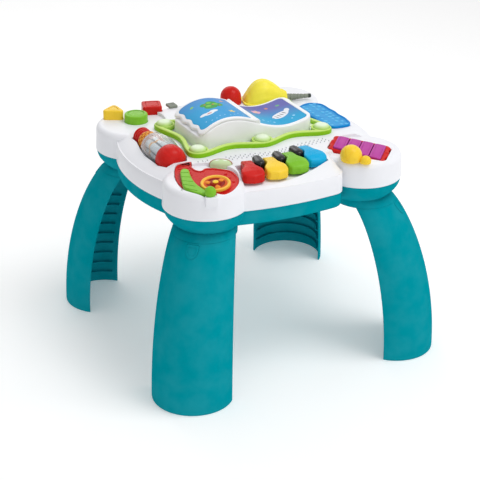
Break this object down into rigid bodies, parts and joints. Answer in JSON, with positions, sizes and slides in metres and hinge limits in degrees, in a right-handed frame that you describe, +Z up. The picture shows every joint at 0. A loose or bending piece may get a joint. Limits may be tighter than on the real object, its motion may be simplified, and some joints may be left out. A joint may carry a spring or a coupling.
{
  "type": "baby activity table",
  "caption": "Low play table on arched legs, with piano keys, a page that turns, a roller, buttons, a guitar with a strum lever, a xylophone and a horn round a lit frame.",
  "frame": {"origin": "centre of the footprint on the floor", "axes": "+Z up, keyboard side faces -Y, xylophone side is +X"},
  "size_m": [0.4478, 0.4444, 0.3498],
  "materials": {
    "teal_plastic": "satin moulded plastic",
    "white_plastic": "glossy moulded plastic",
    "printed_picture": "printed label under gloss",
    "lime_plastic": "glossy translucent plastic",
    "pale_lens": "frosted lens plastic",
    "red_plastic": "glossy",
    "yellow_plastic": "glossy",
    "orange_plastic": "glossy",
    "green_plastic": "glossy",
    "blue_plastic": "glossy",
    "black_plastic": "high gloss",
    "magenta_plastic": "satin",
    "grey_plastic": "satin",
    "clear_plastic": "clear plastic tube",
    "steel": "plated",
    "board": "circuit board",
    "dark_plastic": "dark sleeve"
  },
  "bodies": {
    "root": {"book_housing": "white_plastic", "book_picture_right": "printed_picture", "light_frame": "lime_plastic", "light_lenses": "pale_lens", "black_key_1": "black_plastic", "black_key_2": "black_plastic", "black_key_3": "black_plastic", "base_tray": "teal_plastic", "leg_front_left": "teal_plastic", "leg_front_right": "teal_plastic", "leg_back_left": "teal_plastic", "leg_back_right": "teal_plastic", "top_housing": "white_plastic", "guitar_plate": "red_plastic", "spinner_pin": "yellow_plastic", "guitar_window": "pale_lens", "xylophone_frame": "red_plastic", "bubble_panel": "blue_plastic", "horn": "yellow_plastic", "horn_tip": "grey_plastic", "circuit_board": "board", "speaker": "dark_plastic", "battery_1": "dark_plastic", "battery_2": "dark_plastic", "battery_3": "dark_plastic", "battery_contacts": "steel", "battery_door": "teal_plastic", "battery_door_screw": "steel", "housing_screw_front_left": "steel", "housing_screw_front_right": "steel", "housing_screw_back_left": "steel", "housing_screw_back_right": "steel"},
    "page": {"flip_page": "white_plastic", "flip_page_picture": "printed_picture"},
    "key_red": {"key_red": "red_plastic"},
    "key_yellow": {"key_yellow": "yellow_plastic"},
    "key_green": {"key_green": "green_plastic"},
    "key_blue": {"key_blue": "blue_plastic"},
    "latch_front_left": {"leg_latch_front_left": "teal_plastic"},
    "latch_front_right": {"leg_latch_front_right": "teal_plastic"},
    "latch_back_left": {"leg_latch_back_left": "teal_plastic"},
    "latch_back_right": {"leg_latch_back_right": "teal_plastic"},
    "spinner": {"spinner_disc": "orange_plastic"},
    "strum": {"strum_lever": "green_plastic"},
    "bar_1": {"xylophone_bar_1": "magenta_plastic"},
    "bar_2": {"xylophone_bar_2": "magenta_plastic"},
    "bar_3": {"xylophone_bar_3": "magenta_plastic"},
    "bar_4": {"xylophone_bar_4": "magenta_plastic"},
    "mallet": {"mallet_slider": "yellow_plastic"},
    "roller": {"roller_head": "red_plastic", "roller_barrel": "clear_plastic", "roller_core": "blue_plastic", "roller_bead_ring": "orange_plastic", "roller_cap": "red_plastic", "roller_axle": "steel"},
    "button_circle": {"button_circle": "green_plastic"},
    "button_triangle": {"button_triangle": "yellow_plastic"},
    "button_square": {"button_square": "red_plastic"},
    "switch": {"mode_switch": "grey_plastic"},
    "bulb": {"horn_bulb": "red_plastic"}
  },
  "joints": [
    {"name": "latch_front_left_press", "type": "slide", "parent": "root", "child": "latch_front_left", "axis": [0.7071, 0.7071, 0], "range_m": [0, 0.0025], "stiffness_N_per_m": 400, "springref_m": -0.002},
    {"name": "latch_front_right_press", "type": "slide", "parent": "root", "child": "latch_front_right", "axis": [-0.7071, 0.7071, 0], "range_m": [0, 0.0025], "stiffness_N_per_m": 400, "springref_m": -0.002},
    {"name": "latch_back_left_press", "type": "slide", "parent": "root", "child": "latch_back_left", "axis": [0.7071, -0.7071, 0], "range_m": [0, 0.0025], "stiffness_N_per_m": 400, "springref_m": -0.002},
    {"name": "latch_back_right_press", "type": "slide", "parent": "root", "child": "latch_back_right", "axis": [-0.7071, -0.7071, 0], "range_m": [0, 0.0025], "stiffness_N_per_m": 400, "springref_m": -0.002},
    {"name": "key_red_press", "type": "hinge", "parent": "root", "child": "key_red", "pos_m": [-0.05783, -0.11276, 0.29915], "axis": [0.9744, -0.225, 0], "range_deg": [0, 4], "stiffness_Nm_per_rad": 0.2, "springref_deg": -5.73},
    {"name": "key_yellow_press", "type": "hinge", "parent": "root", "child": "key_yellow", "pos_m": [-0.02493, -0.11427, 0.29915], "axis": [0.9877, -0.1564, 0], "range_deg": [0, 4], "stiffness_Nm_per_rad": 0.2, "springref_deg": -5.73},
    {"name": "key_green_press", "type": "hinge", "parent": "root", "child": "key_green", "pos_m": [0.00715, -0.10958, 0.29915], "axis": [0.9976, -0.0698, 0], "range_deg": [0, 4], "stiffness_Nm_per_rad": 0.2, "springref_deg": -5.73},
    {"name": "key_blue_press", "type": "hinge", "parent": "root", "child": "key_blue", "pos_m": [0.03842, -0.09849, 0.29915], "axis": [0.9994, 0.0349, 0], "range_deg": [0, 4], "stiffness_Nm_per_rad": 0.2, "springref_deg": -5.73},
    {"name": "button_circle_press", "type": "slide", "parent": "root", "child": "button_circle", "axis": [0, 0, -1], "range_m": [0, 0.003], "stiffness_N_per_m": 400, "springref_m": -0.003},
    {"name": "button_triangle_press", "type": "slide", "parent": "root", "child": "button_triangle", "axis": [0, 0, -1], "range_m": [0, 0.003], "stiffness_N_per_m": 400, "springref_m": -0.003},
    {"name": "button_square_press", "type": "slide", "parent": "root", "child": "button_square", "axis": [0, 0, -1], "range_m": [0, 0.003], "stiffness_N_per_m": 400, "springref_m": -0.003},
    {"name": "bulb_press", "type": "slide", "parent": "root", "child": "bulb", "axis": [0, 0, -1], "range_m": [0, 0.004], "stiffness_N_per_m": 350, "springref_m": -0.003},
    {"name": "bar_1_press", "type": "slide", "parent": "root", "child": "bar_1", "axis": [0, 0.1392, -0.9903], "range_m": [0, 0.0025], "stiffness_N_per_m": 400, "springref_m": -0.002},
    {"name": "bar_2_press", "type": "slide", "parent": "root", "child": "bar_2", "axis": [0, 0.1392, -0.9903], "range_m": [0, 0.0025], "stiffness_N_per_m": 400, "springref_m": -0.002},
    {"name": "bar_3_press", "type": "slide", "parent": "root", "child": "bar_3", "axis": [0, 0.1392, -0.9903], "range_m": [0, 0.0025], "stiffness_N_per_m": 400, "springref_m": -0.002},
    {"name": "bar_4_press", "type": "slide", "parent": "root", "child": "bar_4", "axis": [0, 0.1392, -0.9903], "range_m": [0, 0.0025], "stiffness_N_per_m": 400, "springref_m": -0.002},
    {"name": "roller_spin", "type": "hinge", "parent": "root", "child": "roller", "pos_m": [-0.1395, 0, 0.3055], "axis": [0, 1, 0], "continuous": true},
    {"name": "spinner_spin", "type": "hinge", "parent": "root", "child": "spinner", "pos_m": [-0.11984, -0.14157, 0.30464], "axis": [-0.0862, -0.0862, 0.9925], "continuous": true},
    {"name": "strum_swing", "type": "hinge", "parent": "root", "child": "strum", "pos_m": [-0.13973, -0.16618, 0.30078], "axis": [-0.0862, -0.0862, 0.9925], "range_deg": [0, 8]},
    {"name": "mallet_slide", "type": "slide", "parent": "root", "child": "mallet", "axis": [0.6157, -0.788, 0], "range_m": [-0.004, 0.008]},
    {"name": "mode_slide", "type": "slide", "parent": "root", "child": "switch", "axis": [1, 0, 0], "range_m": [-0.003, 0.003]},
    {"name": "page_turn", "type": "hinge", "parent": "root", "child": "page", "pos_m": [0, 0.01, 0.337], "axis": [0, 1, 0], "range_deg": [0, 178]}
  ]
}
